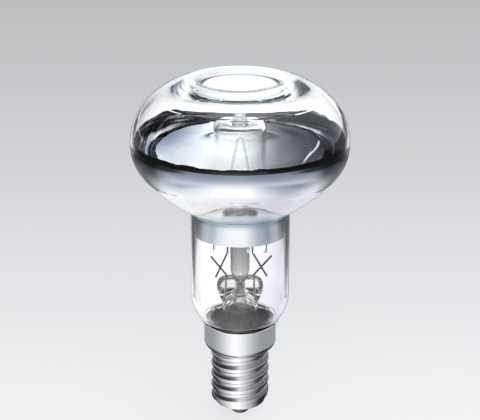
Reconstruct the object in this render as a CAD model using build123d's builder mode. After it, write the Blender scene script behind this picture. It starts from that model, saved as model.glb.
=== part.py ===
from build123d import *
import os
from math import asin, cos, degrees, hypot, radians, sin

# Reflector bulb, 50 mm across, with a halogen capsule inside and a small screw cap.
# Millimetres. The end contact is at the origin, +Z runs up the bulb to its face, and -Y is the front.

# Glass bulb: a face with a round button, a shallow bowl and a straight neck, blown as one piece
overall_length = 83.4
bulb_diameter = 50.0
neck_diameter = 23.1
glass_wall = 0.9
button_radius = 7.0  # flat round button in the middle of the face
button_thickness = 1.0
button_edge_radius = 3.0
moat_radius = 2.4  # hollow ring round the button
rim_radius = 4.5  # raised ring outside the hollow, the highest part of the face
face_radius = 21.3
bowl_shoulder_radius = 10.9
bowl_radius = 43.7
junction_radius = 1.0  # where the bowl turns down into the neck
button_slope = 8.0  # slopes of the face where one arc meets the next, in degrees
moat_slope = 32.0  # degrees
rim_slope = 17.0  # degrees
face_slope = 38.2  # degrees
bowl_shoulder_turn = 41.4  # degrees
neck_bend_rise = 7.2  # from the top of the cap to where the neck starts to draw in
neck_bend_radius = 9.0
neck_bend_turn = 28.0  # degrees
neck_heel_radius = 1.2  # rounded heel just over the cap
heel_gap = 0.5  # air between the heel and the rim of the cap
foot_fillet = 0.5
foot_radius = 7.6  # drawn-in end of the neck, inside the cap
foot_depth = 3.9

# Mirror: metal film on the inside of the bowl, from just over the widest line down into the neck
mirror_rim_rise = 1.9  # from the widest line up to the film's rim
film_gap = 0.05
film_thickness = 0.1
mirror_neck_band = 4.9

# Screw cap: rolled sheet shell, glass insulator, contact plate, solder and the cement that holds the neck
cap_height = 24.4
cap_wall = 0.35
collar_diameter = 17.0
collar_length = 5.5
collar_drop = 2.4  # height of the cone between collar and thread
cap_fillet = 1.3
thread_diameter = 13.8
thread_pitch = 2.822
thread_depth = 0.75
thread_half_width = 1.2
thread_start = 3.57  # height of the lowest crest, on the +X side
thread_runout = 0.94  # from the upper end of the ridge, in the cone, to the foot of the collar
thread_fade = 1.1  # height over which the crest runs out at the end of the shell
shell_end_height = 2.6
shell_end_rise = 0.9
shell_end_radius = 4.3
insulator_seat = 0.45  # height of the seat on the cone at the end of the shell
contact_radius = 2.2
contact_plate = 0.4
contact_hole = 0.5
solder_radius = 2.0
solder_height = 0.8
cement_top_gap = 0.4
cement_shelf = 0.7
cement_shelf_height = 0.9

# Stem: flared glass tube, pressed flat at its top round the wires
stem_radius = 4.2
stem_wall = 0.6
stem_height = 11.3  # from the top of the cap to the top of the press
press_rise = 8.0  # from the round tube to the top of the press
press_half_width = 5.5
press_half_depth = 1.9
press_drop = 2.2  # from the top of the press to its widest line
press_crown = 1.4  # rounding of its top, across and through
press_edge = 0.7
flare_seat = 2.6  # from the end of the neck up to the flare's outer edge
flare_turn = 70.0  # degrees
hollow_rise = 4.1  # dome at the top of the hollow in the tube

# Exhaust tube: glass, drawn thin where the press holds it
tube_radius = 2.0
tube_top_radius = 2.27
tube_waist_radius = 1.12
tube_wall = 0.5
tube_length = 27.9
tube_seat = 2.0  # depth of its top in the notch of the capsule's seal
tube_gap = 0.4  # air over its top
tube_shoulder_rise = 1.3  # heights from the top of the press
tube_waist_top = 1.1
tube_waist_foot = 3.0
tube_drum_top = 3.8
tube_shoulder_fillet = 3.0
tube_fillet = 0.7
seal_gap = 0.03  # between glass and what is sealed in it

# Halogen capsule: hard glass with a tip on top and a flat pinched seal below
capsule_radius = 6.0
capsule_wall = 0.9
weld_room = 6.4  # from the top of the press to the foot of the capsule
face_room = 6.7  # from the tip of the capsule to the top of the face
tip_radius = 1.5
tip_height = 1.9
tip_fillet = 0.7
dome_drop = 1.1
dome_fillet = 2.6
pinch_height = 12.0
pinch_width = 12.6
pinch_depth = 3.4
pinch_fillet = 1.2
pinch_blend = 4.5  # height over which the flat seal opens into the round capsule
foil_width = 2.4
foil_height = 7.0
foil_thickness = 0.1
seal_depth = 3.5  # length of lead held in the pinch below its foil

# Wires
wire_radius = 0.22
wire_bend = 0.8
weld_gap = 0.02  # between crossed wires at their weld
stem_wire_offset = 3.2
stem_wire_seat = 0.7  # depth of the nickel wire in the press
stem_wire_rise = 0.3  # straight stretch above the press
seal_wire_length = 4.0
capsule_wire_offset = 2.9
capsule_wire_drop = 0.4  # straight stretch below the pinch
filament_radius = 0.3  # outside of the fine coil
filament_bend = 0.6  # round top between the legs
filament_seat = 15.2  # from the foot of the capsule to the feet of the legs
filament_room = 4.4  # from where the legs would meet to the tip of the capsule
tail_radius = 0.2
tail_bend = 1.5
tail_turn = 0.8  # from the foot of the exhaust tube up to where the tails turn
contact_tail_drop = 6.2  # from the foot of the exhaust tube down to where the tail meets the axis
shell_tail_drop = 5.0  # from its upper bend to its end on the shell

# The wires were bent by hand: for each side, the free end of its stem wire, as the reach from the axis
# and the drop below the capsule, and that of its capsule wire, as the reach and the height over the press
wire_ends = {
    "left": (-1, (6.84, 1.4), (5.7, 0.0)),
    "right": (1, (7.45, 1.2), (6.31, 0.3)),
}

# Radii and heights that follow from the sizes above
bulb_radius = bulb_diameter / 2
neck_radius = neck_diameter / 2
collar_radius = collar_diameter / 2
thread_radius = thread_diameter / 2
root_radius = thread_radius - thread_depth
bore_radius = root_radius - cap_wall
collar_foot = cap_height - collar_length
thread_top = collar_foot - collar_drop
thread_foot = shell_end_height + shell_end_rise
thread_rise = collar_foot - thread_runout - thread_start
stem_top = cap_height + stem_height
press_foot = stem_top - press_rise
foot_end = cap_height - foot_depth
foot_bore = foot_radius - glass_wall
capsule_top = overall_length - face_room
pinch_foot = stem_top + weld_room
pinch_top = pinch_foot + pinch_height
foil_foot = pinch_foot + seal_depth
foil_top = foil_foot + foil_height
filament_foot = pinch_foot + filament_seat
filament_peak = capsule_top - filament_room
filament_lean = capsule_wire_offset / (filament_peak - filament_foot)  # sideways step for each step up
contact_top = solder_height + contact_plate


def sine(angle):
    return sin(radians(angle))


def cosine(angle):
    return cos(radians(angle))


# The arc above the widest line takes up the reach that the other arcs of the face leave
face_reach = (
    button_radius
    + button_edge_radius * sine(button_slope)
    + moat_radius * (sine(button_slope) + sine(moat_slope))
    + rim_radius * (sine(moat_slope) + sine(rim_slope))
    + face_radius * (sine(face_slope) - sine(rim_slope))
)
shoulder_radius = (bulb_radius - face_reach) / (1 - sine(face_slope))
widest_height = (
    overall_length
    - rim_radius * (1 - cosine(rim_slope))
    - face_radius * (cosine(rim_slope) - cosine(face_slope))
    - shoulder_radius * cosine(face_slope)
)
button_height = (
    overall_length
    - rim_radius * (1 - cosine(moat_slope))
    - moat_radius * (cosine(button_slope) - cosine(moat_slope))
    + button_edge_radius * (1 - cosine(button_slope))
)

# The bowl turns until it meets the arc at the neck in one tangent
shoulder_reach = bulb_radius - bowl_shoulder_radius * (1 - cosine(bowl_shoulder_turn))
bowl_reach = neck_radius + junction_radius - shoulder_reach + bowl_radius * cosine(bowl_shoulder_turn)
neck_turn = 90 - degrees(asin(bowl_reach / (bowl_radius + junction_radius)))


def tangent_arcs(point, heading, arcs, inset):
    """Arcs in one tangent; the inset shrinks those that bulge and widens those that hollow."""
    for radius, turn in arcs:
        arc = JernArc(point, heading, radius + inset if turn > 0 else radius - inset, turn)
        point, heading = arc @ 1, arc % 1
    return point


def face_outline():
    """Outside of the face, from its middle to the widest line."""
    button = Line((0, button_height), (button_radius, button_height))
    arcs = [
        (button_edge_radius, -button_slope),
        (moat_radius, button_slope + moat_slope),
        (rim_radius, -moat_slope - rim_slope),
        (face_radius, rim_slope - face_slope),
        (shoulder_radius, face_slope - 90),
    ]
    tangent_arcs(button @ 1, button % 1, arcs, 0)


def face_lining():
    """Inside of the face: flat under the button and its rings, so that the glass varies in thickness."""
    lining_top = button_height - button_thickness
    inner_shoulder = shoulder_radius - glass_wall
    shoulder_top = widest_height + inner_shoulder * cosine(face_slope)
    lining_radius = (lining_top - shoulder_top) / (1 - cosine(face_slope))
    lining_reach = bulb_radius - glass_wall - inner_shoulder * (1 - sine(face_slope))
    middle = Line((0, lining_top), (lining_reach - lining_radius * sine(face_slope), lining_top))
    arcs = [(lining_radius, -face_slope), (inner_shoulder, face_slope - 90)]
    tangent_arcs(middle @ 1, middle % 1, arcs, 0)


def bowl_outline(inset):
    """From the widest line to the top of the neck."""
    arcs = [
        (bowl_shoulder_radius, -bowl_shoulder_turn),
        (bowl_radius, bowl_shoulder_turn - neck_turn),
        (junction_radius, neck_turn),
    ]
    return tangent_arcs((bulb_radius - inset, widest_height), (0, -1), arcs, inset)


def neck_outline(neck_top, inset):
    """From the bowl to the drawn-in foot of the neck."""
    straight = Line(neck_top, (neck_top.X, cap_height + neck_bend_rise))
    bend = JernArc(straight @ 1, straight % 1, neck_bend_radius - inset, -neck_bend_turn)
    bend_drop = neck_bend_radius * sine(neck_bend_turn)
    heel_drop = neck_heel_radius * (1 - sine(neck_bend_turn))
    cone_drop = neck_bend_rise - bend_drop - heel_drop - heel_gap
    cone = PolarLine(bend @ 1, cone_drop / cosine(neck_bend_turn), direction=bend % 1)
    heel = JernArc(cone @ 1, cone % 1, neck_heel_radius - inset, neck_bend_turn - 90)
    ledge = Line(heel @ 1, (foot_radius + foot_fillet, (heel @ 1).Y))
    step = JernArc(ledge @ 1, ledge % 1, foot_fillet + inset, 90)
    return Line(step @ 1, ((step @ 1).X, foot_end)) @ 1


# Glass envelope
with BuildPart() as glass_envelope:
    with BuildSketch(Plane.XZ):
        with BuildLine():
            face_outline()
            outer_foot = neck_outline(bowl_outline(0), 0)
            face_lining()
            inner_foot = neck_outline(bowl_outline(glass_wall), glass_wall)
            Line(outer_foot, inner_foot)
            Line((0, button_height), (0, button_height - button_thickness))
        make_face()
    revolve(axis=Axis.Z)


# Mirror film
film_back = glass_wall + film_gap
film_front = film_back + film_thickness
rim_angle = degrees(asin(mirror_rim_rise / (shoulder_radius - film_back)))


def film_outline(inset):
    """One side of the film, from its rim to its edge in the neck; gives back both ends."""
    reach = shoulder_radius - inset
    rim = (
        bulb_radius - shoulder_radius + reach * cosine(rim_angle),
        widest_height + reach * sine(rim_angle),
    )
    JernArc(rim, (sine(rim_angle), -cosine(rim_angle)), reach, -rim_angle)
    neck_top = bowl_outline(inset)
    return rim, Line(neck_top, neck_top - (0, mirror_neck_band)) @ 1


with BuildPart() as reflector_mirror:
    with BuildSketch(Plane.XZ):
        with BuildLine():
            for back, front in zip(film_outline(film_back), film_outline(film_front)):
                Line(back, front)
        make_face()
    revolve(axis=Axis.Z)

# Shell of the cap: rolled from sheet, with one rounded thread ridge along a helix. Its profiles stand on a
# plane between the axes, clear of the lower end of the ridge.
shell_plane = Plane(origin=(0, 0, 0), x_dir=(-1, 1, 0), z_dir=(1, 1, 0))
end_run = root_radius - shell_end_radius
end_slant = hypot(end_run, shell_end_rise)
seat_radius = shell_end_radius - cap_wall * shell_end_rise / end_slant
seat_height = shell_end_height + cap_wall * end_run / end_slant


def shell_outline():
    """Outside of the shell without its thread, from the rim of the collar to the end contact."""
    return FilletPolyline(
        (collar_radius, cap_height),
        (collar_radius, collar_foot),
        (root_radius, thread_top),
        (root_radius, thread_foot),
        (shell_end_radius, shell_end_height),
        radius=cap_fillet,
    )


with BuildPart() as screw_shell:
    with BuildSketch(shell_plane):
        with BuildLine():
            shell_outline()
            Polyline(
                (shell_end_radius, shell_end_height),
                (seat_radius, seat_height),
                (0, seat_height),
                (0, cap_height),
                (collar_radius, cap_height),
            )
        make_face()
    revolve(axis=Axis.Z)
    with BuildLine() as thread_path:
        Helix(
            thread_pitch,
            thread_rise,
            root_radius - cap_wall / 2,
            center=(0, 0, thread_start),
        )
    with BuildSketch(Plane(thread_path.line @ 0, x_dir=(1, 0, 0), z_dir=thread_path.line % 0)):
        with BuildLine():
            ThreePointArc(
                (0, -thread_half_width), (thread_depth + cap_wall / 2, 0), (0, thread_half_width)
            )
            Line((0, thread_half_width), (0, -thread_half_width))
        make_face()
    sweep(path=thread_path.line, is_frenet=True)
    with BuildSketch(shell_plane):
        with BuildLine():
            Polyline(
                (root_radius, thread_foot),
                (collar_radius, thread_foot + thread_fade * (collar_radius - root_radius) / thread_depth),
                (collar_radius, 0),
                (shell_end_radius, 0),
                (shell_end_radius, shell_end_height),
                close=True,
            )
        make_face()
    revolve(axis=Axis.Z, mode=Mode.SUBTRACT)
    with BuildSketch(shell_plane):
        with BuildLine():
            shell_outline()
            offset(amount=-cap_wall, side=Side.RIGHT, closed=False)
            Polyline(
                (seat_radius, seat_height),
                (0, shell_end_height),
                (0, cap_height + cap_wall),
                (collar_radius - cap_wall, cap_height + cap_wall),
                (collar_radius - cap_wall, cap_height),
            )
        make_face()
    revolve(axis=Axis.Z, mode=Mode.SUBTRACT)

# Insulator: black glass bead seated on the cone at the end of the shell
insulator_top = seat_height + insulator_seat
with BuildPart() as glass_insulator:
    with BuildSketch(Plane.XZ):
        with BuildLine():
            Polyline(
                (contact_hole, contact_top),
                (contact_radius, contact_top),
                (seat_radius, seat_height),
                (seat_radius + insulator_seat * end_run / shell_end_rise, insulator_top),
                (contact_hole, insulator_top),
                close=True,
            )
        make_face()
    revolve(axis=Axis.Z)

# Contact plate and the solder that covers it
with BuildPart() as contact_disc:
    with BuildSketch(Plane.XY.offset(solder_height)):
        Circle(contact_radius)
        Circle(contact_hole, mode=Mode.SUBTRACT)
    extrude(amount=contact_plate)

with BuildPart() as contact_solder:
    with BuildSketch(Plane.XZ):
        with BuildLine():
            flat = Line((0, 0), (solder_radius / 2, 0))
            TangentArc(flat @ 1, (solder_radius, solder_height), tangent=(1, 0))
            Polyline((solder_radius, solder_height), (0, solder_height), (0, 0))
        make_face()
    revolve(axis=Axis.Z)

# Cement between the neck and the collar
with BuildPart() as basing_cement:
    with BuildSketch(Plane.XZ):
        with BuildLine():
            Polyline(
                (collar_radius - cap_wall, cap_height - cement_top_gap),
                (foot_radius, cap_height - cement_top_gap),
                (foot_radius, foot_end),
                (foot_radius - cement_shelf, foot_end),
                (foot_radius - cement_shelf, foot_end - cement_shelf_height),
                (collar_radius - cap_wall, foot_end - cement_shelf_height),
                close=True,
            )
        make_face()
    revolve(axis=Axis.Z)


# Exhaust tube
tube_top = pinch_foot + tube_seat
tube_foot = tube_top - tube_length


def tube_outline(gap):
    """Outside of the tube, or of the room for it with a gap, from its open top to its sealed end."""
    return FilletPolyline(
        (tube_top_radius + gap, tube_top),
        (tube_top_radius + gap, stem_top + tube_shoulder_rise),
        (tube_waist_radius + gap, stem_top - tube_waist_top),
        (tube_waist_radius + gap, stem_top - tube_waist_foot),
        (tube_radius + gap, stem_top - tube_drum_top),
        (tube_radius + gap, tube_foot),
        (0, tube_foot),
        radius=[tube_shoulder_fillet, tube_shoulder_fillet, tube_fillet, tube_fillet, tube_fillet],
    )


with BuildPart() as exhaust_tube:
    with BuildSketch(Plane.XZ):
        with BuildLine():
            tube_outline(0)
            Polyline(
                (tube_top_radius, tube_top),
                (tube_top_radius - tube_wall, tube_top),
                (tube_top_radius - tube_wall, stem_top + tube_shoulder_rise),
                (tube_waist_radius - tube_wall, stem_top - tube_waist_top),
                (tube_waist_radius - tube_wall, stem_top - tube_waist_foot),
                (tube_radius - tube_wall, stem_top - tube_drum_top),
                (tube_radius - tube_wall, tube_foot + tube_wall),
                (0, tube_foot + tube_wall),
                (0, tube_foot),
            )
        make_face()
    revolve(axis=Axis.Z)

# Stem: the flare, the press lofted from the round tube, the hollow below it, and room for tube and wires
flare_radius = (foot_bore - stem_radius) / (1 - cosine(flare_turn))
flare_edge = foot_end + flare_seat
flare_top = flare_edge + flare_radius * sine(flare_turn)
stem_bore = stem_radius - stem_wall
with BuildPart() as glass_stem:
    press_ears = stem_top - press_drop
    middle_width = (stem_radius + press_half_width) / 2
    middle_depth = (stem_radius + press_half_depth) / 2
    for height, half_width, half_depth in [
        (press_foot, stem_radius, stem_radius),
        ((press_foot + press_ears) / 2, middle_width, middle_depth),
        (press_ears, press_half_width, press_half_depth),
        (stem_top - press_drop / 3, press_half_width - press_crown / 3, press_half_depth - press_edge / 3),
        (stem_top, press_half_width - press_crown, press_half_depth - press_edge),
    ]:
        with BuildSketch(Plane.XY.offset(height)):
            Ellipse(half_width, half_depth)
    loft()
    with BuildSketch(Plane.XZ):
        with BuildLine():
            wall = Line((stem_radius, press_foot), (stem_radius, flare_top))
            flare = JernArc(wall @ 1, wall % 1, flare_radius, flare_turn)
            bore = Line((stem_bore, press_foot), (stem_bore, flare_top))
            mouth = JernArc(bore @ 1, bore % 1, flare_radius + stem_wall, flare_turn)
            lip = PolarLine(
                mouth @ 1,
                foot_bore - (mouth @ 1).X,
                direction=mouth % 1,
                length_mode=LengthMode.HORIZONTAL,
            )
            Line(lip @ 1, flare @ 1)
            Line(wall @ 0, bore @ 0)
        make_face()
    revolve(axis=Axis.Z)
    with BuildSketch(Plane.XZ):
        with BuildLine():
            EllipticalCenterArc((0, press_foot), stem_bore, hollow_rise, arc_size=90)
            Polyline((stem_bore, press_foot), (0, press_foot), (0, press_foot + hollow_rise))
        make_face()
    revolve(axis=Axis.Z, mode=Mode.SUBTRACT)
    with BuildSketch(Plane.XZ):
        with BuildLine():
            tube_outline(seal_gap)
            Polyline((tube_top_radius + seal_gap, tube_top), (0, tube_top), (0, tube_foot))
        make_face()
    revolve(axis=Axis.Z, mode=Mode.SUBTRACT)
    with BuildSketch(Plane.XY.offset(press_foot)):
        with Locations((-stem_wire_offset, 0), (stem_wire_offset, 0)):
            Circle(wire_radius + seal_gap)
    extrude(amount=press_rise, mode=Mode.SUBTRACT)

# Capsule: round body with its tip, opening out of the flat seal, hollow down to the seal, and the notch
# in which the seal stands on the exhaust tube
capsule_shoulder = capsule_top - tip_height - dome_drop
body_foot = pinch_top + pinch_blend
cavity_radius = capsule_radius - capsule_wall
with BuildPart() as halogen_capsule:
    with BuildSketch(Plane.XZ):
        with BuildLine():
            FilletPolyline(
                (0, capsule_top),
                (tip_radius - tip_fillet / 2, capsule_top),
                (tip_radius, capsule_top - tip_height),
                (capsule_radius, capsule_shoulder),
                (capsule_radius, body_foot),
                radius=[tip_fillet, tip_fillet, dome_fillet],
            )
            Polyline((capsule_radius, body_foot), (0, body_foot), (0, capsule_top))
        make_face()
    revolve(axis=Axis.Z)
    with BuildSketch(Plane.XY.offset(pinch_top)):
        Ellipse(pinch_width / 2, pinch_depth / 2)
    with BuildSketch(Plane.XY.offset(body_foot)):
        Circle(capsule_radius)
    loft()
    with BuildSketch(Plane.XY.offset(pinch_foot)):
        RectangleRounded(pinch_width, pinch_depth, pinch_fillet)
    extrude(amount=pinch_height)
    with BuildSketch(Plane.XZ):
        with BuildLine():
            FilletPolyline(
                (0, capsule_top - tip_height - capsule_wall),
                (cavity_radius, capsule_shoulder - capsule_wall),
                (cavity_radius, body_foot),
                radius=dome_fillet - capsule_wall,
            )
            Polyline(
                (cavity_radius, body_foot),
                (0, body_foot),
                (0, capsule_top - tip_height - capsule_wall),
            )
        make_face()
    revolve(axis=Axis.Z, mode=Mode.SUBTRACT)
    with BuildSketch(Plane.XY.offset(pinch_top + capsule_wall)):
        Ellipse(cavity_radius, pinch_depth / 2 - capsule_wall)
    with BuildSketch(Plane.XY.offset(body_foot)):
        Circle(cavity_radius)
    loft(mode=Mode.SUBTRACT)
    with BuildSketch(Plane.XY.offset(foil_foot - seal_gap)):
        with Locations((-capsule_wire_offset, 0), (capsule_wire_offset, 0)):
            Rectangle(foil_width + 2 * seal_gap, foil_thickness + 2 * seal_gap)
    extrude(amount=foil_height + 2 * seal_gap, mode=Mode.SUBTRACT)
    with BuildSketch(Plane.XY.offset(pinch_foot)):
        with Locations((-capsule_wire_offset, 0), (capsule_wire_offset, 0)):
            Circle(wire_radius + seal_gap)
    extrude(amount=body_foot - pinch_foot, mode=Mode.SUBTRACT)
    with BuildSketch(Plane.XY.offset(pinch_foot)):
        Circle(tube_top_radius + seal_gap)
    extrude(amount=tube_seat + tube_gap, mode=Mode.SUBTRACT)


def bent_wire(points, radius, bend):
    """Round wire along straight runs joined by arcs."""
    with BuildPart() as wire:
        with BuildLine() as path:
            FilletPolyline(*points, radius=bend)
        with BuildSketch(Plane(origin=path.line @ 0, z_dir=path.line % 0)):
            Circle(radius)
        sweep()
    return wire.part


def straight_rod(offset_x, foot, top, radius):
    """Upright wire beside the axis."""
    with BuildPart() as rod:
        with BuildSketch(Plane.XY.offset(foot)):
            with Locations((offset_x, 0)):
                Circle(radius)
        extrude(amount=top - foot)
    return rod.part


def crossing_share(start, end, other_start, other_end):
    """How far along the first line, as a share, the second crosses it."""
    run, rise = end[0] - start[0], end[1] - start[1]
    other_run, other_rise = other_end[0] - other_start[0], other_end[1] - other_start[1]
    gap_x, gap_z = other_start[0] - start[0], other_start[1] - start[1]
    return (gap_x * other_rise - gap_z * other_run) / (run * other_rise - rise * other_run)


pieces = {
    "glass_envelope": glass_envelope.part,
    "reflector_mirror": reflector_mirror.part,
    "screw_shell": screw_shell.part,
    "glass_insulator": glass_insulator.part,
    "contact_disc": contact_disc.part,
    "contact_solder": contact_solder.part,
    "basing_cement": basing_cement.part,
    "exhaust_tube": exhaust_tube.part,
    "glass_stem": glass_stem.part,
    "halogen_capsule": halogen_capsule.part,
}

# Wires of each side, from the press up: seal wire, stem wire, capsule wire, foil and filament lead
nickel_foot = stem_top - stem_wire_seat
seal_foot = nickel_foot - seal_wire_length
lead_top = filament_foot - filament_radius * filament_lean  # under the leaning foot of the filament
for side, (sign, stem_end, capsule_end) in wire_ends.items():
    stem_bend = (stem_wire_offset, stem_top + stem_wire_rise)
    stem_tip = (stem_end[0], pinch_foot - stem_end[1])
    capsule_bend = (capsule_wire_offset, pinch_foot - capsule_wire_drop)
    capsule_tip = (capsule_end[0], stem_top + capsule_end[1])
    share = crossing_share(capsule_bend, capsule_tip, stem_bend, stem_tip)
    lean = -(2 * wire_radius + weld_gap) / share
    pieces[f"stem_wire_{side}"] = bent_wire(
        [
            (sign * stem_wire_offset, 0, nickel_foot),
            (sign * stem_bend[0], 0, stem_bend[1]),
            (sign * stem_tip[0], 0, stem_tip[1]),
        ],
        wire_radius,
        wire_bend,
    )
    pieces[f"capsule_wire_{side}"] = bent_wire(
        [
            (sign * capsule_wire_offset, 0, foil_foot),
            (sign * capsule_bend[0], 0, capsule_bend[1]),
            (sign * capsule_tip[0], lean, capsule_tip[1]),
        ],
        wire_radius,
        wire_bend,
    )
    pieces[f"seal_wire_{side}"] = straight_rod(sign * stem_wire_offset, seal_foot, nickel_foot, wire_radius)
    lead_reach = sign * capsule_wire_offset
    pieces[f"filament_lead_{side}"] = straight_rod(lead_reach, foil_top, lead_top, wire_radius)
    with BuildPart() as foil:
        with BuildSketch(Plane.XY.offset(foil_foot)):
            with Locations((sign * capsule_wire_offset, 0)):
                Rectangle(foil_width, foil_thickness)
        extrude(amount=foil_height)
    pieces[f"foil_{side}"] = foil.part

# Filament: the outside of a fine coil, bent into a hairpin
pieces["filament"] = bent_wire(
    [
        (-capsule_wire_offset, 0, filament_foot),
        (0, 0, filament_peak),
        (capsule_wire_offset, 0, filament_foot),
    ],
    filament_radius,
    filament_bend,
)

# Copper tails inside the cap: one to the end contact, one against the inside of the shell
tail_floor = tube_foot + tail_turn
tail_end = tail_floor - shell_tail_drop
pieces["contact_tail"] = bent_wire(
    [
        (-stem_wire_offset, 0, seal_foot),
        (-stem_wire_offset, 0, tail_floor),
        (0, 0, tube_foot - contact_tail_drop),
        (0, 0, solder_height),
    ],
    tail_radius,
    tail_bend,
)
pieces["shell_tail"] = bent_wire(
    [
        (stem_wire_offset, 0, seal_foot),
        (stem_wire_offset, 0, tail_floor),
        (bore_radius - tail_radius, 0, tail_end + thread_pitch / 2),
        (bore_radius - tail_radius, 0, tail_end),
    ],
    tail_radius,
    tail_bend,
)

os.makedirs("parts", exist_ok=True)
for name, part in pieces.items():
    part.label = name
    export_step(part, f"parts/{name}.step")
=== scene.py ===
import bpy
from math import atan, cos, pi, radians, sin
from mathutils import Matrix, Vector


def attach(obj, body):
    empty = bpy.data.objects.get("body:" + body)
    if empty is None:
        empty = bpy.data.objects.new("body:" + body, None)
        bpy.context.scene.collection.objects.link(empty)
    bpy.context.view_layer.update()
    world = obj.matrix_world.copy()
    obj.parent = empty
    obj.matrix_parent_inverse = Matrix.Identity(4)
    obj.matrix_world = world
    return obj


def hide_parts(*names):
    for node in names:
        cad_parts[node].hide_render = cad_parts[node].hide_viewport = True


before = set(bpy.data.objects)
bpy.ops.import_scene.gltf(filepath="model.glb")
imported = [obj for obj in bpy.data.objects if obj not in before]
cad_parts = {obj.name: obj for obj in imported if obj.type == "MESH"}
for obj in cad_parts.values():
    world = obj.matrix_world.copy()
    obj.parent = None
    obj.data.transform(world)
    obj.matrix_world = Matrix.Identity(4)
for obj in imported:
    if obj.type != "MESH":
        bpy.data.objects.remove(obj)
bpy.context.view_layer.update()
scene = bpy.context.scene

# Sizes are written in millimetres and turned to metres with MM
MM = 0.001

# A Mix node's sockets share their names, so they are called by place: for colours, and for plain numbers
COLOUR_A, COLOUR_B, COLOUR_OUT = 6, 7, 2
NUMBER_A, NUMBER_B, NUMBER_OUT = 2, 3, 0

# Nearly all of a grain's values lie between these
GRAIN_LOW, GRAIN_HIGH = 0.3, 0.7

# How far a metal's roughness goes up and down with its grain
ROUGHNESS_SPREAD = 0.2


def linear(hex_colour):
    """A hex sRGB colour as linear red, green, blue and alpha."""
    channels = [int(hex_colour[i : i + 2], 16) / 255 for i in (1, 3, 5)]
    return [c / 12.92 if c <= 0.04045 else ((c + 0.055) / 1.055) ** 2.4 for c in channels] + [1.0]


def add_node(tree, kind, inputs=None, stops=None, **settings):
    """Adds a node with its settings.

    An input is a value, or a socket to link from. Stops fill a colour ramp.
    """
    made = tree.nodes.new(kind)
    for name, value in settings.items():
        setattr(made, name, value)
    for name, value in (inputs or {}).items():
        socket = made.inputs[name]
        if isinstance(value, bpy.types.NodeSocket):
            tree.links.new(value, socket)
        else:
            socket.default_value = value
    for place, (where, colour) in enumerate(stops or []):
        ramp = made.color_ramp.elements
        stop = ramp[place] if place < 2 else ramp.new(1.0)
        stop.position = where
        stop.color = linear(colour)
    return made


def new_material(name):
    """An empty material, its node tree, and the place on the piece in metres in the shared frame."""
    made = bpy.data.materials.new(name)
    made.use_nodes = True
    tree = made.node_tree
    tree.nodes.clear()
    return made, tree, add_node(tree, "ShaderNodeTexCoord").outputs["Object"]


def grain_of(tree, place, grain_mm, detail=3.0, stretch=(1, 1, 1)):
    """A fine grain as a number from 0 to 1."""
    laid = add_node(tree, "ShaderNodeMapping", {"Vector": place, "Scale": stretch})
    return add_node(
        tree,
        "ShaderNodeTexNoise",
        {"Vector": laid.outputs["Vector"], "Scale": 1 / (grain_mm * MM), "Detail": detail},
    ).outputs["Fac"]


def raised_grain(tree, place, grain_mm, depth_mm, detail=3.0, stretch=(1, 1, 1)):
    """A fine grain as a number from 0 to 1, and the bump that it makes in the surface."""
    grain = grain_of(tree, place, grain_mm, detail, stretch)
    bump = add_node(tree, "ShaderNodeBump", {"Height": grain, "Strength": 1.0, "Distance": depth_mm * MM})
    return grain, bump.outputs["Normal"]


def uneven_line(tree, place, grain_mm, detail, low_mm, high_mm):
    """A height that wanders between two, for the edge of a film or of smoke."""
    return add_node(
        tree,
        "ShaderNodeMapRange",
        {
            "Value": grain_of(tree, place, grain_mm, detail),
            "From Min": GRAIN_LOW,
            "From Max": GRAIN_HIGH,
            "To Min": low_mm * MM,
            "To Max": high_mm * MM,
        },
    ).outputs["Result"]


def clear_glass(tree, place, colour, ior, wave_mm, wave_depth_mm):
    """Fire-finished glass: smooth and bright, with slow waves left from blowing or drawing.

    Shadow rays pass it, so that what is inside is lit.
    """
    normal = raised_grain(tree, place, wave_mm, wave_depth_mm, 1.0)[1]
    glass = add_node(
        tree,
        "ShaderNodeBsdfPrincipled",
        {
            "Base Color": colour,
            "Roughness": 0.0,
            "IOR": ior,
            "Transmission Weight": 1.0,
            "Normal": normal,
        },
    )
    passed = add_node(tree, "ShaderNodeBsdfTransparent", {"Color": linear("#F4F6F7")})
    path = add_node(tree, "ShaderNodeLightPath")
    return add_node(
        tree,
        "ShaderNodeMixShader",
        {0: path.outputs["Is Shadow Ray"], 1: glass.outputs["BSDF"], 2: passed.outputs["BSDF"]},
    ).outputs["Shader"]


def bare_metal(tree, place, colour, roughness, grain_mm, depth_mm, stretch=(1, 1, 1)):
    """Bare metal with a fine grain in its roughness and surface."""
    grain, normal = raised_grain(tree, place, grain_mm, depth_mm, 3.0, stretch)
    rough = add_node(
        tree,
        "ShaderNodeMapRange",
        {
            "Value": grain,
            "To Min": roughness * (1 - ROUGHNESS_SPREAD),
            "To Max": roughness * (1 + ROUGHNESS_SPREAD),
        },
    )
    return add_node(
        tree,
        "ShaderNodeBsdfPrincipled",
        {
            "Base Color": linear(colour),
            "Metallic": 1.0,
            "Roughness": rough.outputs["Result"],
            "Normal": normal,
        },
    ).outputs["BSDF"]


def dull(tree, place, colour, dark_colour, roughness, grain_mm, depth_mm, shine=0.5):
    """A dull surface mottled between two colours."""
    grain, normal = raised_grain(tree, place, grain_mm, depth_mm, 4.0)
    mottle = add_node(
        tree,
        "ShaderNodeMix",
        {"Factor": grain, COLOUR_A: linear(dark_colour), COLOUR_B: linear(colour)},
        data_type="RGBA",
    )
    return add_node(
        tree,
        "ShaderNodeBsdfPrincipled",
        {
            "Base Color": mottle.outputs[COLOUR_OUT],
            "Roughness": roughness,
            "Specular IOR Level": shine,
            "Normal": normal,
        },
    ).outputs["BSDF"]


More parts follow.
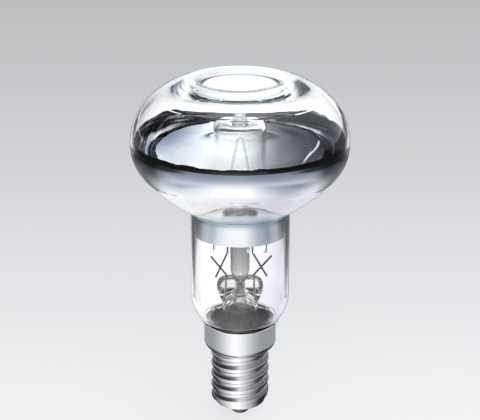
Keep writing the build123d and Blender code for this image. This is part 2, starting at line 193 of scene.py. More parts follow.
def painted_shade_brown(tree, place):
    """Painted shade in dark brown, in upright streaks, for the dark mouth of the cap seen through the glass.
    """
    streaks, normal = raised_grain(tree, place, 0.9, 0.01, 3.0, (1, 1, 0.15))
    smoke = add_node(
        tree,
        "ShaderNodeValToRGB",
        {"Fac": streaks},
        [(0.35, "#1A130C"), (0.5, "#2C2217"), (0.65, "#4A3D2E")],
    )
    return add_node(
        tree,
        "ShaderNodeBsdfPrincipled",
        {
            "Base Color": smoke.outputs["Color"],
            "Roughness": 0.6,
            "Specular IOR Level": 0.1,
            "Normal": normal,
        },
    ).outputs["BSDF"]


def smoke_with_painted_reflections(tree, place):
    """Dark metal smoke in streaks that run round the bulb, with a bright one here and there: the streaks are
    partly painted reflections, dark and bright.
    """
    streaks, normal = raised_grain(tree, place, 0.9, 0.006, 1.5, (0.05, 0.05, 1))
    smoke = add_node(
        tree,
        "ShaderNodeValToRGB",
        {"Fac": streaks},
        [(0.4, "#121113"), (0.52, "#262528"), (0.58, "#4A4A50"), (0.63, "#A6A7AE"), (0.7, "#2A292C")],
    )
    return add_node(
        tree,
        "ShaderNodeBsdfPrincipled",
        {"Base Color": smoke.outputs["Color"], "Metallic": 1.0, "Roughness": 0.12, "Normal": normal},
    ).outputs["BSDF"]


def inner_side(tree, place):
    """1 on the surfaces that face the axis, 0 on the others."""
    outward = add_node(tree, "ShaderNodeVectorMath", {0: place, 1: (1, 1, 0)}, operation="MULTIPLY")
    facing = add_node(tree, "ShaderNodeNewGeometry").outputs["True Normal"]
    side = add_node(
        tree, "ShaderNodeVectorMath", {0: outward.outputs["Vector"], 1: facing}, operation="DOT_PRODUCT"
    )
    return add_node(
        tree, "ShaderNodeMath", {0: side.outputs["Value"], 1: 0.0}, operation="LESS_THAN"
    ).outputs["Value"]


def direction(turn, height):
    """A direction from its angle from the front, to the right, and its angle over the horizon."""
    turn, height = radians(turn), radians(height)
    return Vector((sin(turn) * cos(height), -cos(turn) * cos(height), sin(height)))


def panel_glow(tree, look, axis, full, gone, strength):
    """Strength inside an angle round the axis, fading to nothing at a wider one."""
    near = add_node(tree, "ShaderNodeVectorMath", {0: look, 1: axis}, operation="DOT_PRODUCT")
    return add_node(
        tree,
        "ShaderNodeMapRange",
        {
            "Value": near.outputs["Value"],
            "From Min": cos(radians(gone)),
            "From Max": cos(radians(full)),
            "To Max": strength,
        },
        interpolation_type="SMOOTHSTEP",
    ).outputs["Result"]


finishes = {}
soda_lime_ior, hard_glass_ior, lead_glass_ior = 1.52, 1.54, 1.56

# Soda-lime glass, blown: long soft waves bend what is seen through it. It looks greener where it is thick,
# at the ring of the face and at the bend over the neck. Inside, metal smoke lies on it over the film at the
# back, its streaks partly painted reflections, and at its foot painted shade in brown, for the dark mouth of
# the cap
tint_from, tint_to = 45, 85
smoke_foot, smoke_low, smoke_high, smoke_rise = 69.0, 69.9, 70.7, 0.075
back_start, back_full = -2, 6
brown_low, brown_high = 24.4, 25.4
bulb_glass, tree, place = new_material("soda_lime_glass_blown")
axes = add_node(tree, "ShaderNodeSeparateXYZ", {"Vector": place})
height = axes.outputs["Z"]
up_share = add_node(
    tree, "ShaderNodeMapRange", {"Value": height, "From Min": tint_from * MM, "From Max": tint_to * MM}
)
thickness = add_node(
    tree,
    "ShaderNodeValToRGB",
    {"Fac": up_share.outputs["Result"]},
    [
        (0.15, "#FFFFFF"),
        (0.18, "#DCEBED"),
        (0.21, "#E0EDEF"),
        (0.26, "#FFFFFF"),
        (0.87, "#FFFFFF"),
        (0.93, "#F3F9F9"),
    ],
)
clear = clear_glass(tree, place, thickness.outputs["Color"], soda_lime_ior, 9.0, 0.012)
inside = inner_side(tree, place)
rise = add_node(tree, "ShaderNodeMath", {0: axes.outputs["Y"], 1: smoke_rise}, operation="MULTIPLY")
smoke_top = add_node(
    tree,
    "ShaderNodeMath",
    {0: uneven_line(tree, place, 4.0, 3.0, smoke_low, smoke_high), 1: rise.outputs["Value"]},
    operation="ADD",
)
under = add_node(
    tree, "ShaderNodeMath", {0: height, 1: smoke_top.outputs["Value"]}, operation="LESS_THAN"
)
over = add_node(tree, "ShaderNodeMath", {0: height, 1: smoke_foot * MM}, operation="GREATER_THAN")
band = add_node(
    tree, "ShaderNodeMath", {0: under.outputs["Value"], 1: over.outputs["Value"]}, operation="MULTIPLY"
)
at_back = add_node(
    tree,
    "ShaderNodeMapRange",
    {"Value": axes.outputs["Y"], "From Min": back_start * MM, "From Max": back_full * MM},
)
laid = add_node(tree, "ShaderNodeMath", {0: band.outputs["Value"], 1: inside}, operation="MULTIPLY")
share = add_node(
    tree, "ShaderNodeMath", {0: laid.outputs["Value"], 1: at_back.outputs["Result"]}, operation="MULTIPLY"
)
# Metal smoke over the film at the back, its dark and bright streaks partly painted reflections
mix = add_node(
    tree, "ShaderNodeMixShader", {0: share.outputs["Value"], 1: clear, 2: smoke_with_painted_reflections(tree, place)}
)
# Painted shade in brown on the inner face of the foot, for the dark mouth of the cap
low = add_node(
    tree,
    "ShaderNodeMapRange",
    {
        "Value": height,
        "From Min": brown_low * MM,
        "From Max": brown_high * MM,
        "To Min": 1.0,
        "To Max": 0.0,
    },
)
foot = add_node(tree, "ShaderNodeMath", {0: low.outputs["Result"], 1: inside}, operation="MULTIPLY")
mix = add_node(
    tree,
    "ShaderNodeMixShader",
    {0: foot.outputs["Value"], 1: mix.outputs["Shader"], 2: painted_shade_brown(tree, place)},
)
add_node(tree, "ShaderNodeOutputMaterial", {"Surface": mix.outputs["Shader"]})
finishes["glass_envelope"] = bulb_glass

# Hard glass, drawn and fire finished: small waves at the crown
capsule_glass, tree, place = new_material("hard_glass_fire_finished")
clear = clear_glass(tree, place, linear("#FFFFFF"), hard_glass_ior, 3.0, 0.016)
add_node(tree, "ShaderNodeOutputMaterial", {"Surface": clear})
finishes["halogen_capsule"] = capsule_glass

# Lead glass, pressed between jaws: uneven faces that show as dark outlines. The flare under it has painted
# shade in brown, for the dark cap below it, in streaks that run down it
flare_brown, flare_clear = 25.6, 27.4
stem_glass, tree, place = new_material("lead_glass_pressed")
clear = clear_glass(tree, place, linear("#F7F6F3"), lead_glass_ior, 2.2, 0.008)
height = add_node(tree, "ShaderNodeSeparateXYZ", {"Vector": place}).outputs["Z"]
over = add_node(
    tree,
    "ShaderNodeMapRange",
    {"Value": height, "From Min": flare_brown * MM, "From Max": flare_clear * MM},
)
# Painted shade in brown on the flare, fading out upwards
mix = add_node(
    tree, "ShaderNodeMixShader", {0: over.outputs["Result"], 1: painted_shade_brown(tree, place), 2: clear}
)
add_node(tree, "ShaderNodeOutputMaterial", {"Surface": mix.outputs["Shader"]})
finishes["glass_stem"] = stem_glass

# Lead-glass tube, drawn: satin from the flame over the press, with a painted highlight that is whitest at
# its shoulder, clear in the press and with painted shade in brown below it
press_top, satin_foot = 31.6, 32.2
highlight_from, highlight_to = 34, 44
tube_glass, tree, place = new_material("lead_glass_tube_drawn")
height = add_node(tree, "ShaderNodeSeparateXYZ", {"Vector": place}).outputs["Z"]
up_share = add_node(
    tree, "ShaderNodeMapRange", {"Value": height, "From Min": highlight_from * MM, "From Max": highlight_to * MM}
)
# Painted highlight along the height: whitest at the shoulder, greyer below and above
painted_highlight = add_node(
    tree,
    "ShaderNodeValToRGB",
    {"Fac": up_share.outputs["Result"]},
    [(0.0, "#A29C91"), (0.2, "#D2CCC0"), (0.34, "#FFFBF2"), (0.6, "#EAE4D8"), (1.0, "#D2CEC5")],
)
satin = add_node(
    tree,
    "ShaderNodeBsdfPrincipled",
    {
        "Base Color": painted_highlight.outputs["Color"],
        "Metallic": 0.45,
        "Roughness": 0.25,
        "Normal": raised_grain(tree, place, 1.2, 0.006)[1],
    },
)
clear = clear_glass(tree, place, linear("#EFEDE8"), lead_glass_ior, 1.6, 0.02)
over = add_node(
    tree, "ShaderNodeMapRange", {"Value": height, "From Min": press_top * MM, "From Max": satin_foot * MM}
)
mix = add_node(
    tree, "ShaderNodeMixShader", {0: over.outputs["Result"], 1: clear, 2: satin.outputs["BSDF"]}
)
# Painted shade in brown on the tube below the press
foot = add_node(
    tree,
    "ShaderNodeMapRange",
    {"Value": height, "From Min": flare_brown * MM, "From Max": flare_clear * MM},
)
mix = add_node(
    tree,
    "ShaderNodeMixShader",
    {0: foot.outputs["Result"], 1: painted_shade_brown(tree, place), 2: mix.outputs["Shader"]},
)
add_node(tree, "ShaderNodeOutputMaterial", {"Surface": mix.outputs["Shader"]})
finishes["exhaust_tube"] = tube_glass

# Aluminium film, evaporated: a mirror. In the neck its shading leans a little, so that it shows the floor
# close by. At its rim the metal cloud thinned out: the edge is ragged, and the inside is smoky there, with
# streaks that run round the bowl, partly painted reflections
film_colour = "#F1F2F4"
neck_lean, neck_roughness = 0.26, 0.05
neck_top, bowl_foot = 51.5, 53.0
smoke_low, smoke_high, smoke_fade = 66.2, 67.4, 0.9
rim_low, rim_high, rim_tilt = 69.9, 70.3, 0.015
film, tree, place = new_material("aluminium_film_evaporated")
bright = bare_metal(tree, place, film_colour, 0.015, 9.0, 0.004)
front_way = add_node(tree, "ShaderNodeNewGeometry").outputs["Normal"]
front_axes = add_node(tree, "ShaderNodeSeparateXYZ", {"Vector": front_way})
dip = add_node(tree, "ShaderNodeMath", {0: front_axes.outputs["Y"], 1: neck_lean}, operation="MULTIPLY")
lean = add_node(tree, "ShaderNodeCombineXYZ", {"Z": dip.outputs["Value"]})
leaned = add_node(tree, "ShaderNodeVectorMath", {0: front_way, 1: lean.outputs["Vector"]}, operation="ADD")
neck_way = add_node(tree, "ShaderNodeVectorMath", {0: leaned.outputs["Vector"]}, operation="NORMALIZE")
satin = add_node(
    tree,
    "ShaderNodeBsdfPrincipled",
    {
        "Base Color": linear(film_colour),
        "Metallic": 1.0,
        "Roughness": neck_roughness,
        "Normal": neck_way.outputs["Vector"],
    },
)
axes = add_node(tree, "ShaderNodeSeparateXYZ", {"Vector": place})
height = axes.outputs["Z"]
in_bowl = add_node(
    tree, "ShaderNodeMapRange", {"Value": height, "From Min": neck_top * MM, "From Max": bowl_foot * MM}
)
mirror = add_node(
    tree, "ShaderNodeMixShader", {0: in_bowl.outputs["Result"], 1: satin.outputs["BSDF"], 2: bright}
)
above = add_node(
    tree,
    "ShaderNodeMath",
    {0: height, 1: uneven_line(tree, place, 9.0, 2.0, smoke_low, smoke_high)},
    operation="SUBTRACT",
)
thin = add_node(
    tree, "ShaderNodeMapRange", {"Value": above.outputs["Value"], "From Max": smoke_fade * MM}
)
dark_inside = add_node(
    tree,
    "ShaderNodeMath",
    {0: inner_side(tree, place), 1: thin.outputs["Result"]},
    operation="MULTIPLY",
)
# Smoke inside near the rim, its streaks partly painted reflections
coat = add_node(
    tree,
    "ShaderNodeMixShader",
    {0: dark_inside.outputs["Value"], 1: mirror.outputs["Shader"], 2: smoke_with_painted_reflections(tree, place)},
)
tilt = add_node(tree, "ShaderNodeMath", {0: axes.outputs["Y"], 1: rim_tilt}, operation="MULTIPLY")
rim = add_node(
    tree,
    "ShaderNodeMath",
    {0: uneven_line(tree, place, 3.0, 4.0, rim_low, rim_high), 1: tilt.outputs["Value"]},
    operation="ADD",
)
bare = add_node(tree, "ShaderNodeMath", {0: height, 1: rim.outputs["Value"]}, operation="GREATER_THAN")
gone = add_node(tree, "ShaderNodeBsdfTransparent")
mix = add_node(
    tree,
    "ShaderNodeMixShader",
    {0: bare.outputs["Value"], 1: coat.outputs["Shader"], 2: gone.outputs["BSDF"]},
)
add_node(tree, "ShaderNodeOutputMaterial", {"Surface": mix.outputs["Shader"]})
finishes["reflector_mirror"] = film

# Aluminium sheet, rolled: satin, with lines round it outside. Inside it is near black: the cement's brown
# with painted shade of the closed cap. The real lines are some hundredths of a millimetre apart; they are
# drawn at
# 0.2 mm, so that they show
thread_top, collar_foot = 16.5, 18.9
thread_bore, collar_bore = 5.95, 8.3
closed_end = 3.7
shell, tree, place = new_material("aluminium_sheet_rolled")
satin = bare_metal(tree, place, "#EAEBED", 0.17, 0.2, 0.0015, (0.01, 0.01, 1))
# Inside: near black, the cement's brown with painted shade of the closed cap
dark_inside = dull(tree, place, "#17110C", "#0E0A07", 0.7, 1.0, 0.01, 0.1)
flat = add_node(tree, "ShaderNodeVectorMath", {0: place, 1: (1, 1, 0)}, operation="MULTIPLY")
reach = add_node(tree, "ShaderNodeVectorMath", {0: flat.outputs["Vector"]}, operation="LENGTH")
height = add_node(tree, "ShaderNodeSeparateXYZ", {"Vector": place}).outputs["Z"]
wall = add_node(
    tree,
    "ShaderNodeMapRange",
    {
        "Value": height,
        "From Min": thread_top * MM,
        "From Max": collar_foot * MM,
        "To Min": thread_bore * MM,
        "To Max": collar_bore * MM,
    },
)
within = add_node(
    tree, "ShaderNodeMath", {0: reach.outputs["Value"], 1: wall.outputs["Result"]}, operation="LESS_THAN"
)
over_end = add_node(tree, "ShaderNodeMath", {0: height, 1: closed_end * MM}, operation="GREATER_THAN")
inside = add_node(
    tree, "ShaderNodeMath", {0: within.outputs["Value"], 1: over_end.outputs["Value"]}, operation="MULTIPLY"
)
mix = add_node(tree, "ShaderNodeMixShader", {0: inside.outputs["Value"], 1: satin, 2: dark_inside})
add_node(tree, "ShaderNodeOutputMaterial", {"Surface": mix.outputs["Shader"]})
finishes["screw_shell"] = shell

# The other finishes: the pieces, what it is and how it was made, then how it is drawn. The lines that drawing
# and rolling leave are far finer than the grain of 0.2 to 0.4 mm that stands for them, so that it shows
for nodes, name, drawn, values in [
    # Nearly black, with a bright gloss
    (["glass_insulator"], "black_glass_pressed", dull, ("#15151A", "#0C0C10", 0.12, 1.0, 0.004)),
    # Grey metal with a soft shine
    (["contact_disc"], "brass_plate_tinned", bare_metal, ("#6C6C70", 0.35, 0.4, 0.004)),
    # Dull grey, a little lumpy where it set
    (["contact_solder"], "tin_solder_dipped", dull, ("#4C4C4E", "#3A3A3C", 0.4, 0.8, 0.03)),
    # Dark brown, gritty and matt
    (["basing_cement"], "basing_cement_baked", dull, ("#1E160F", "#120D09", 0.9, 0.5, 0.06, 0.1)),
    # Dark warm grey, dulled by the flame
    (
        ["stem_wire_left", "stem_wire_right"],
        "nickel_wire_drawn",
        dull,
        ("#464442", "#343230", 0.35, 0.3, 0.004),
    ),
    # Dark cold grey, dulled by the flame
    (
        ["capsule_wire_left", "capsule_wire_right", "filament_lead_left", "filament_lead_right"],
        "molybdenum_wire_drawn",
        dull,
        ("#424144", "#303032", 0.35, 0.3, 0.004),
    ),
    # Pale pinkish brown, as copper looks under glass
    (
        ["seal_wire_left", "seal_wire_right"],
        "copper_coated_wire_sealed",
        dull,
        ("#A88478", "#8A6A60", 0.4, 0.3, 0.004),
    ),
    # Grey and shiny
    (["foil_left", "foil_right"], "molybdenum_foil_rolled", bare_metal, ("#8A8A8E", 0.25, 0.3, 0.004)),
    # Mid grey and dull
    (["filament"], "tungsten_wire_coiled", dull, ("#7A7A7E", "#5E5E62", 0.5, 0.2, 0.004)),
    # Brown, dulled by the cement's smoke
    (["contact_tail", "shell_tail"], "copper_wire_drawn", dull, ("#5E4537", "#45332A", 0.5, 0.3, 0.004)),
]:
    made, tree, place = new_material(name)
    add_node(tree, "ShaderNodeOutputMaterial", {"Surface": drawn(tree, place, *values)})
    for node_name in nodes:
        finishes[node_name] = made

for node_name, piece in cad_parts.items():
    piece.data.materials.clear()
    piece.data.materials.append(finishes[node_name])

# Filament: the fine coil itself, wound along the hairpin
foot_reach, foot_height, lean, bend = 2.9, 57.3, 0.19333, 0.6
coil_radius, coil_wire, coil_pitch, coil_steps, coil_sides = 0.26, 0.03, 0.3, 14, 6
half_angle = atan(lean)
bend_height = foot_height + foot_reach / lean - bend / sin(half_angle)
bend_start = Vector((bend * cos(half_angle), 0, bend_height + bend * sin(half_angle)))
right_foot = Vector((foot_reach, 0, foot_height))
leg = (bend_start - right_foot).length
bend_angle = pi - 2 * half_angle
bend_length = bend * bend_angle


def hairpin(run):
    """The place on the hairpin and its direction there, after a run from the right foot."""
    if run < leg:
        up = Vector((-sin(half_angle), 0, cos(half_angle)))
        return right_foot + up * run, up
    if run < leg + bend_length:
        turn = half_angle + (run - leg) / bend
        on_bend = Vector((bend * cos(turn), 0, bend_height + bend * sin(turn)))
        return on_bend, Vector((-sin(turn), 0, cos(turn)))
    down = Vector((-sin(half_angle), 0, -cos(half_angle)))
    left_start = Vector((-bend_start.x, 0, bend_start.z))
    return left_start + down * (run - leg - bend_length), down


points, faces = [], []
total = 2 * leg + bend_length
count = int(total / coil_pitch * coil_steps)
side_way = Vector((0, 1, 0))
for step in range(count + 1):
    middle, along = hairpin(total * step / count)
    across = side_way.cross(along)
    turn = 2 * pi * step / coil_steps
    outward = across * cos(turn) + side_way * sin(turn)
    centre = middle + outward * coil_radius
    for side in range(coil_sides):
        swing = 2 * pi * side / coil_sides
        points.append((centre + (outward * cos(swing) + along * sin(swing)) * coil_wire) * MM)
    if step:
        last, this = (step - 1) * coil_sides, step * coil_sides
        for side in range(coil_sides):
            after = (side + 1) % coil_sides
            faces.append((last + side, last + after, this + after, this + side))
mesh = bpy.data.meshes.new("filament_coil")
mesh.from_pydata(points, [], faces)
mesh.polygons.foreach_set("use_smooth", [True] * len(mesh.polygons))
mesh.materials.append(finishes["filament"])
filament_coil = bpy.data.objects.new("filament_coil", mesh)
scene.collection.objects.link(filament_coil)
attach(filament_coil, "root")
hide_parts("filament")

# Stage: a pale floor, painted. It has one look for the eye, one for rays through glass, which the mirror
# behind the glass shows too, and one for rays off bare metal
floor_paint, tree, place = new_material("pale_floor_paint")
axes = add_node(tree, "ShaderNodeSeparateXYZ", {"Vector": place})
flat = add_node(tree, "ShaderNodeVectorMath", {0: place, 1: (1, 1, 0)}, operation="MULTIPLY")
reach = add_node(
    tree, "ShaderNodeVectorMath", {0: flat.outputs["Vector"]}, operation="LENGTH"
).outputs["Value"]
path = add_node(tree, "ShaderNodeLightPath")

# The eye sees it darken to the back, with a little of the bulb's shadow
fade_front, fade_back, shadow_share = -20, 520, 0.15
depth = add_node(
    tree,
    "ShaderNodeMapRange",
    {"Value": axes.outputs["Y"], "From Min": fade_front * MM, "From Max": fade_back * MM},
)
fade = add_node(
    tree,
    "ShaderNodeValToRGB",
    {"Fac": depth.outputs["Result"]},
    [(0.0, "#F6F6F7"), (0.16, "#E5E6E8"), (0.36, "#D4D5D7"), (0.68, "#C4C5C7"), (1.0, "#BDBDBE")],
)
glow = add_node(tree, "ShaderNodeEmission", {"Color": fade.outputs["Color"]})
paint = add_node(tree, "ShaderNodeBsdfDiffuse", {"Color": fade.outputs["Color"]})
seen = add_node(
    tree, "ShaderNodeMixShader", {0: shadow_share, 1: glow.outputs["Emission"], 2: paint.outputs["BSDF"]}
)

# Through glass, in front: white near the bulb and darker further off. Where the neck's mirror looks, it is
# shaded to both sides, and most of that shade is gone where the bowl looks
rings_end, shade_half = 400, 70
neck_looks, bowl_looks, bowl_shade = 72, 92, 0.25
away = add_node(tree, "ShaderNodeMapRange", {"Value": reach, "From Max": rings_end * MM}).outputs["Result"]
front = add_node(
    tree,
    "ShaderNodeValToRGB",
    {"Fac": away},
    [
        (0.05, "#EAEAF2"),
        (0.085, "#FFFFFF"),
        (0.16, "#FFFFFF"),
        (0.22, "#DCE0E9"),
        (0.265, "#B6BDCB"),
        (0.33, "#99A1B1"),
        (0.49, "#8A909C"),
        (0.58, "#777B86"),
        (0.71, "#3A3A40"),
        (0.9, "#1A1A1C"),
    ],
)
aside = add_node(
    tree,
    "ShaderNodeMapRange",
    {"Value": axes.outputs["X"], "From Min": -shade_half * MM, "From Max": shade_half * MM},
)
shade = add_node(
    tree,
    "ShaderNodeValToRGB",
    {"Fac": aside.outputs["Result"]},
    [
        (0.0, "#A8B2C0"),
        (0.15, "#E0E5EC"),
        (0.3, "#FFFFFF"),
        (0.58, "#FFFFFF"),
        (0.8, "#AEB6C5"),
        (1.0, "#858E9C"),
    ],
)
shade_share = add_node(
    tree,
    "ShaderNodeMapRange",
    {
        "Value": reach,
        "From Min": neck_looks * MM,
        "From Max": bowl_looks * MM,
        "To Min": 1.0,
        "To Max": bowl_shade,
    },
)
front_shaded = add_node(
    tree,
    "ShaderNodeMix",
    {
        "Factor": shade_share.outputs["Result"],
        COLOUR_A: front.outputs["Color"],
        COLOUR_B: shade.outputs["Color"],
    },
    data_type="RGBA",
    blend_type="MULTIPLY",
)

# Through glass, behind: a white lane that narrows to the back, between dark sides
lane_start, lane_end, lane_half_start, lane_half_end = 60, 160, 48, 33
lane_edge_out, lane_edge_in = 6, -2
behind = add_node(
    tree,
    "ShaderNodeValToRGB",
    {"Fac": away},
    [
        (0.1, "#FCFCFD"),
        (0.15, "#E6E7EE"),
        (0.18, "#D2D4DC"),
        (0.2, "#AEB0B8"),
        (0.25, "#66686F"),
        (0.3, "#313237"),
        (0.5, "#28292D"),
    ],
)
lane = add_node(
    tree,
    "ShaderNodeValToRGB",
    {"Fac": aside.outputs["Result"]},
    [(0.49, "#FFFFFF"), (0.56, "#EFEDF7"), (0.64, "#E6E5F2")],
)
off_axis = add_node(tree, "ShaderNodeMath", {0: axes.outputs["X"]}, operation="ABSOLUTE")
lane_edge = add_node(
    tree,
    "ShaderNodeMapRange",
    {
        "Value": axes.outputs["Y"],
        "From Min": lane_start * MM,
        "From Max": lane_end * MM,
        "To Min": lane_half_start * MM,
        "To Max": lane_half_end * MM,
    },
)
past_edge = add_node(
    tree,
    "ShaderNodeMath",
    {0: off_axis.outputs["Value"], 1: lane_edge.outputs["Result"]},
    operation="SUBTRACT",
)
in_lane = add_node(
    tree,
    "ShaderNodeMapRange",
    {
        "Value": past_edge.outputs["Value"],
        "From Min": lane_edge_out * MM,
        "From Max": lane_edge_in * MM,
    },
)
back = add_node(
    tree,
    "ShaderNodeMix",
    {
        "Factor": in_lane.outputs["Result"],
        COLOUR_A: behind.outputs["Color"],
        COLOUR_B: lane.outputs["Color"],
    },
    data_type="RGBA",
)

# From front to back these follow each other, and far behind it is all white
sheet = front_shaded.outputs[COLOUR_OUT]
for colour, start, end in [(back.outputs[COLOUR_OUT], -20, 30), (linear("#FBFBFE"), 170, 230)]:
    far = add_node(
        tree,
        "ShaderNodeMapRange",
        {"Value": axes.outputs["Y"], "From Min": start * MM, "From Max": end * MM},
    )
    sheet = add_node(
        tree,
        "ShaderNodeMix",
        {"Factor": far.outputs["Result"], COLOUR_A: sheet, COLOUR_B: colour},
        data_type="RGBA",
    ).outputs[COLOUR_OUT]

# It is brighter to the back and dark at its wings, which end far behind
wing_start, wing_full, wing_level = 135, 165, 0.1
wing_end_start, wing_end_full = 900, 1300
bright_end, near_level, far_level = 200, 1.12, 1.35
wing = add_node(
    tree,
    "ShaderNodeMapRange",
    {
        "Value": off_axis.outputs["Value"],
        "From Min": wing_start * MM,
        "From Max": wing_full * MM,
        "To Min": 1.0,
        "To Max": wing_level,
    },
)
wing_end = add_node(
    tree,
    "ShaderNodeMapRange",
    {"Value": axes.outputs["Y"], "From Min": wing_end_start * MM, "From Max": wing_end_full * MM},
)
wings = add_node(
    tree, "ShaderNodeMath", {0: wing.outputs["Result"], 1: wing_end.outputs["Result"]}, operation="MAXIMUM"
)
further = add_node(
    tree,
    "ShaderNodeMapRange",
    {
        "Value": axes.outputs["Y"],
        "From Min": 0.0,
        "From Max": bright_end * MM,
        "To Min": near_level,
        "To Max": far_level,
    },
)
sheet_strength = add_node(
    tree, "ShaderNodeMath", {0: wings.outputs["Value"], 1: further.outputs["Result"]}, operation="MULTIPLY"
)
through_glass = add_node(
    tree, "ShaderNodeEmission", {"Color": sheet, "Strength": sheet_strength.outputs["Value"]}
)

# For bare metal: a painted pool of light, brightest in front, a little to the left, with a painted shadow
# close to the cap's sides
light_turn = radians(-13)
inner_end, outer_start = 34, 44
pool_end, pool_gone, pool_level, gone_level = 140, 190, 1.35, 0.3
light_way = (sin(light_turn), -cos(light_turn), 0)
heading = add_node(tree, "ShaderNodeVectorMath", {0: flat.outputs["Vector"]}, operation="NORMALIZE")
facing = add_node(
    tree, "ShaderNodeVectorMath", {0: heading.outputs["Vector"], 1: light_way}, operation="DOT_PRODUCT"
)
outer_pool = add_node(
    tree,
    "ShaderNodeValToRGB",
    {"Fac": facing.outputs["Value"]},
    [
        (0.0, "#909296"),
        (0.26, "#95979B"),
        (0.57, "#ACAEB2"),
        (0.81, "#CBCCD0"),
        (0.95, "#E6E6E8"),
        (1.0, "#F6F6F6"),
    ],
)
# Close to the cap the pool is dark at the sides: a painted shadow of the cap
inner_pool_cap_shadow = add_node(
    tree,
    "ShaderNodeValToRGB",
    {"Fac": facing.outputs["Value"]},
    [
        (0.0, "#2C2C30"),
        (0.1, "#36363A"),
        (0.45, "#84848A"),
        (0.77, "#BCBCC0"),
        (0.94, "#E2E2E4"),
        (1.0, "#FFFFFF"),
    ],
)
spread = add_node(
    tree,
    "ShaderNodeMapRange",
    {"Value": reach, "From Min": inner_end * MM, "From Max": outer_start * MM},
    interpolation_type="SMOOTHSTEP",
)
pool = add_node(
    tree,
    "ShaderNodeMix",
    {
        "Factor": spread.outputs["Result"],
        COLOUR_A: inner_pool_cap_shadow.outputs["Color"],
        COLOUR_B: outer_pool.outputs["Color"],
    },
    data_type="RGBA",
)
pool_strength = add_node(
    tree,
    "ShaderNodeMapRange",
    {
        "Value": reach,
        "From Min": pool_end * MM,
        "From Max": pool_gone * MM,
        "To Min": pool_level,
        "To Max": gone_level,
    },
)
beside_metal = add_node(
    tree,
    "ShaderNodeEmission",
    {"Color": pool.outputs[COLOUR_OUT], "Strength": pool_strength.outputs["Result"]},
)

# All other rays meet plain pale paint
surface = add_node(tree, "ShaderNodeBsdfDiffuse", {"Color": linear("#F0F0F0")}).outputs["BSDF"]
for ray, shown in [
    ("Is Glossy Ray", beside_metal.outputs["Emission"]),
    ("Is Transmission Ray", through_glass.outputs["Emission"]),
    ("Is Camera Ray", seen.outputs["Shader"]),
]:
    surface = add_node(
        tree, "ShaderNodeMixShader", {0: path.outputs[ray], 1: surface, 2: shown}
    ).outputs["Shader"]
add_node(tree, "ShaderNodeOutputMaterial", {"Surface": surface})
half, level = 3000 * MM, -0.2 * MM
mesh = bpy.data.meshes.new("floor")
mesh.from_pydata(
    [(-half, -half, level), (half, -half, level), (half, half, level), (-half, half, level)],
    [],
    [(0, 1, 2, 3)],
)
mesh.materials.append(floor_paint)
floor = bpy.data.objects.new("floor", mesh)
scene.collection.objects.link(floor)

# Studio: a light tent, brightest a little to the right of the middle and nearly black on the left
world = bpy.data.worlds.new("studio")
scene.world = world
world.use_nodes = True
tree = world.node_tree
tree.nodes.clear()
look = add_node(tree, "ShaderNodeTexCoord").outputs["Generated"]
across = add_node(tree, "ShaderNodeSeparateXYZ", {"Vector": look}).outputs["X"]
share = add_node(tree, "ShaderNodeMapRange", {"Value": across, "From Min": -1.0, "From Max": 1.0})
tent = add_node(
    tree,
    "ShaderNodeValToRGB",
    {"Fac": share.outputs["Result"]},
    [
        (0.0, "#161617"),
        (0.065, "#262628"),
        (0.14, "#4C4D50"),
        (0.25, "#7E8085"),
        (0.36, "#BCBEC3"),
        (0.48, "#EAEBEC"),
        (0.6, "#FEFEFE"),
        (0.72, "#FCFDFE"),
        (0.81, "#E2E7EE"),
        (0.9, "#BAC4D2"),
        (0.96, "#95A1B4"),
        (1.0, "#7C889C"),
    ],
)

# Bare metal sees a plainer grey tent. Rays through glass count as glossy too, so they are taken off
plain_tent = add_node(
    tree,
    "ShaderNodeValToRGB",
    {"Fac": share.outputs["Result"]},
    [
        (0.0, "#2C2C2E"),
        (0.12, "#3E3E40"),
        (0.3, "#828284"),
        (0.45, "#F0F0F0"),
        (0.55, "#E6E6E7"),
        (0.7, "#AEAEB1"),
        (0.85, "#84848A"),
        (1.0, "#606066"),
    ],
)
path = add_node(tree, "ShaderNodeLightPath")
off_metal = add_node(
    tree,
    "ShaderNodeMath",
    {0: path.outputs["Is Glossy Ray"], 1: path.outputs["Is Transmission Ray"]},
    operation="SUBTRACT",
    use_clamp=True,
)
sky = add_node(
    tree,
    "ShaderNodeMix",
    {
        "Factor": off_metal.outputs["Value"],
        COLOUR_A: tent.outputs["Color"],
        COLOUR_B: plain_tent.outputs["Color"],
    },
    data_type="RGBA",
)

# A dark flag stands behind, over the white that the face shows, and for glass and mirror one overhead
mirrored = add_node(
    tree,
    "ShaderNodeMath",
    {0: path.outputs["Is Glossy Ray"], 1: path.outputs["Is Transmission Ray"]},
    operation="MAXIMUM",
)
flag = panel_glow(tree, look, direction(180, 52), full=12, gone=24, strength=0.8)
overhead = panel_glow(tree, look, direction(180, 84), full=14, gone=34, strength=0.35)
roof = add_node(
    tree, "ShaderNodeMath", {0: overhead, 1: mirrored.outputs["Value"]}, operation="MULTIPLY"
)
flags = add_node(tree, "ShaderNodeMath", {0: flag, 1: roof.outputs["Value"]}, operation="MAXIMUM")
open_share = add_node(tree, "ShaderNodeMath", {0: 1.0, 1: flags.outputs["Value"]}, operation="SUBTRACT")

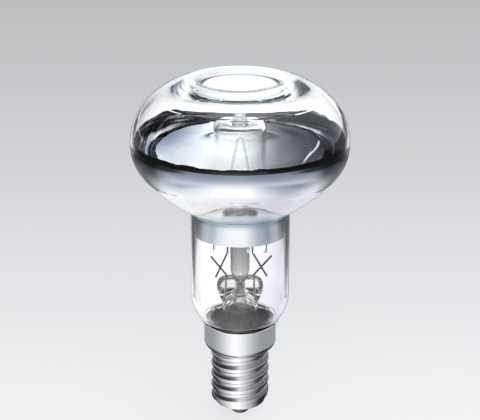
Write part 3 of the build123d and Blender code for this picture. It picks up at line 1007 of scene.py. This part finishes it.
# The tent's bright side is lifted, but not for bare metal
lift_start, lift_full, lift_level = 0.25, 0.36, 1.45
bright_side = add_node(
    tree,
    "ShaderNodeMapRange",
    {
        "Value": share.outputs["Result"],
        "From Min": lift_start,
        "From Max": lift_full,
        "To Min": 1.0,
        "To Max": lift_level,
    },
)
lift = add_node(
    tree,
    "ShaderNodeMix",
    {"Factor": off_metal.outputs["Value"], NUMBER_A: bright_side.outputs["Result"], NUMBER_B: 1.0},
)
strength = add_node(
    tree,
    "ShaderNodeMath",
    {0: lift.outputs[NUMBER_OUT], 1: open_share.outputs["Value"]},
    operation="MULTIPLY",
)
room = add_node(
    tree,
    "ShaderNodeBackground",
    {"Color": sky.outputs[COLOUR_OUT], "Strength": strength.outputs["Value"]},
).outputs["Background"]

# A lamp overhead, half as bright in glass and mirror
lamp_share = add_node(
    tree,
    "ShaderNodeMapRange",
    {"Value": mirrored.outputs["Value"], "To Min": 1.0, "To Max": 0.5},
)
lamp_glow = panel_glow(tree, look, direction(180, 80), full=8, gone=24, strength=2.5)
lamp = add_node(
    tree, "ShaderNodeMath", {0: lamp_glow, 1: lamp_share.outputs["Result"]}, operation="MULTIPLY"
)

# A narrow strip light at the back on the left, which only the bowl shows, as one slanting line
strip_edge, strip_full = 0.03, 0.015
strip_foot, strip_top = direction(-104, 10), direction(-120, 39)
strip_middle = (strip_foot + strip_top).normalized()
strip_length = panel_glow(tree, look, strip_middle, full=15, gone=18, strength=1.0)
beside = add_node(
    tree,
    "ShaderNodeVectorMath",
    {0: look, 1: strip_foot.cross(strip_top).normalized()},
    operation="DOT_PRODUCT",
)
off = add_node(tree, "ShaderNodeMath", {0: beside.outputs["Value"]}, operation="ABSOLUTE")
strip_width = add_node(
    tree,
    "ShaderNodeMapRange",
    {"Value": off.outputs["Value"], "From Min": strip_edge, "From Max": strip_full},
)
strip = add_node(
    tree, "ShaderNodeMath", {0: strip_length, 1: strip_width.outputs["Result"]}, operation="MULTIPLY"
)
strip_seen = add_node(
    tree,
    "ShaderNodeMath",
    {0: strip.outputs["Value"], 1: path.outputs["Is Transmission Ray"]},
    operation="MULTIPLY",
)
for light in (lamp, strip_seen):
    panel = add_node(
        tree,
        "ShaderNodeBackground",
        {"Color": linear("#FFFFFF"), "Strength": light.outputs["Value"]},
    )
    room = add_node(
        tree, "ShaderNodeAddShader", {0: room, 1: panel.outputs["Background"]}
    ).outputs["Shader"]

# Over the floor's far edge the backdrop is the grey of its top
backdrop = add_node(tree, "ShaderNodeBackground", {"Color": linear("#BDBEC0"), "Strength": 1.0})
room = add_node(
    tree,
    "ShaderNodeMixShader",
    {0: path.outputs["Is Camera Ray"], 1: room, 2: backdrop.outputs["Background"]},
).outputs["Shader"]
add_node(tree, "ShaderNodeOutputWorld", {"Surface": room})

# Camera at the height and distance of the photograph's
camera = bpy.data.cameras.new("camera")
camera.sensor_width = 36.0
camera.sensor_fit = "HORIZONTAL"
camera.lens = 102.94
camera.clip_start = 10 * MM
eye = bpy.data.objects.new("camera", camera)
eye.location = (0, -298.505 * MM, 160.303 * MM)
eye.rotation_euler = (radians(70.076), 0, 0)
scene.collection.objects.link(eye)
scene.camera = eye

# Enough bounces for all the layers of glass
scene.view_settings.view_transform = "Standard"
scene.cycles.max_bounces = 24
scene.cycles.glossy_bounces = 12
scene.cycles.transmission_bounces = 24
scene.cycles.transparent_max_bounces = 32
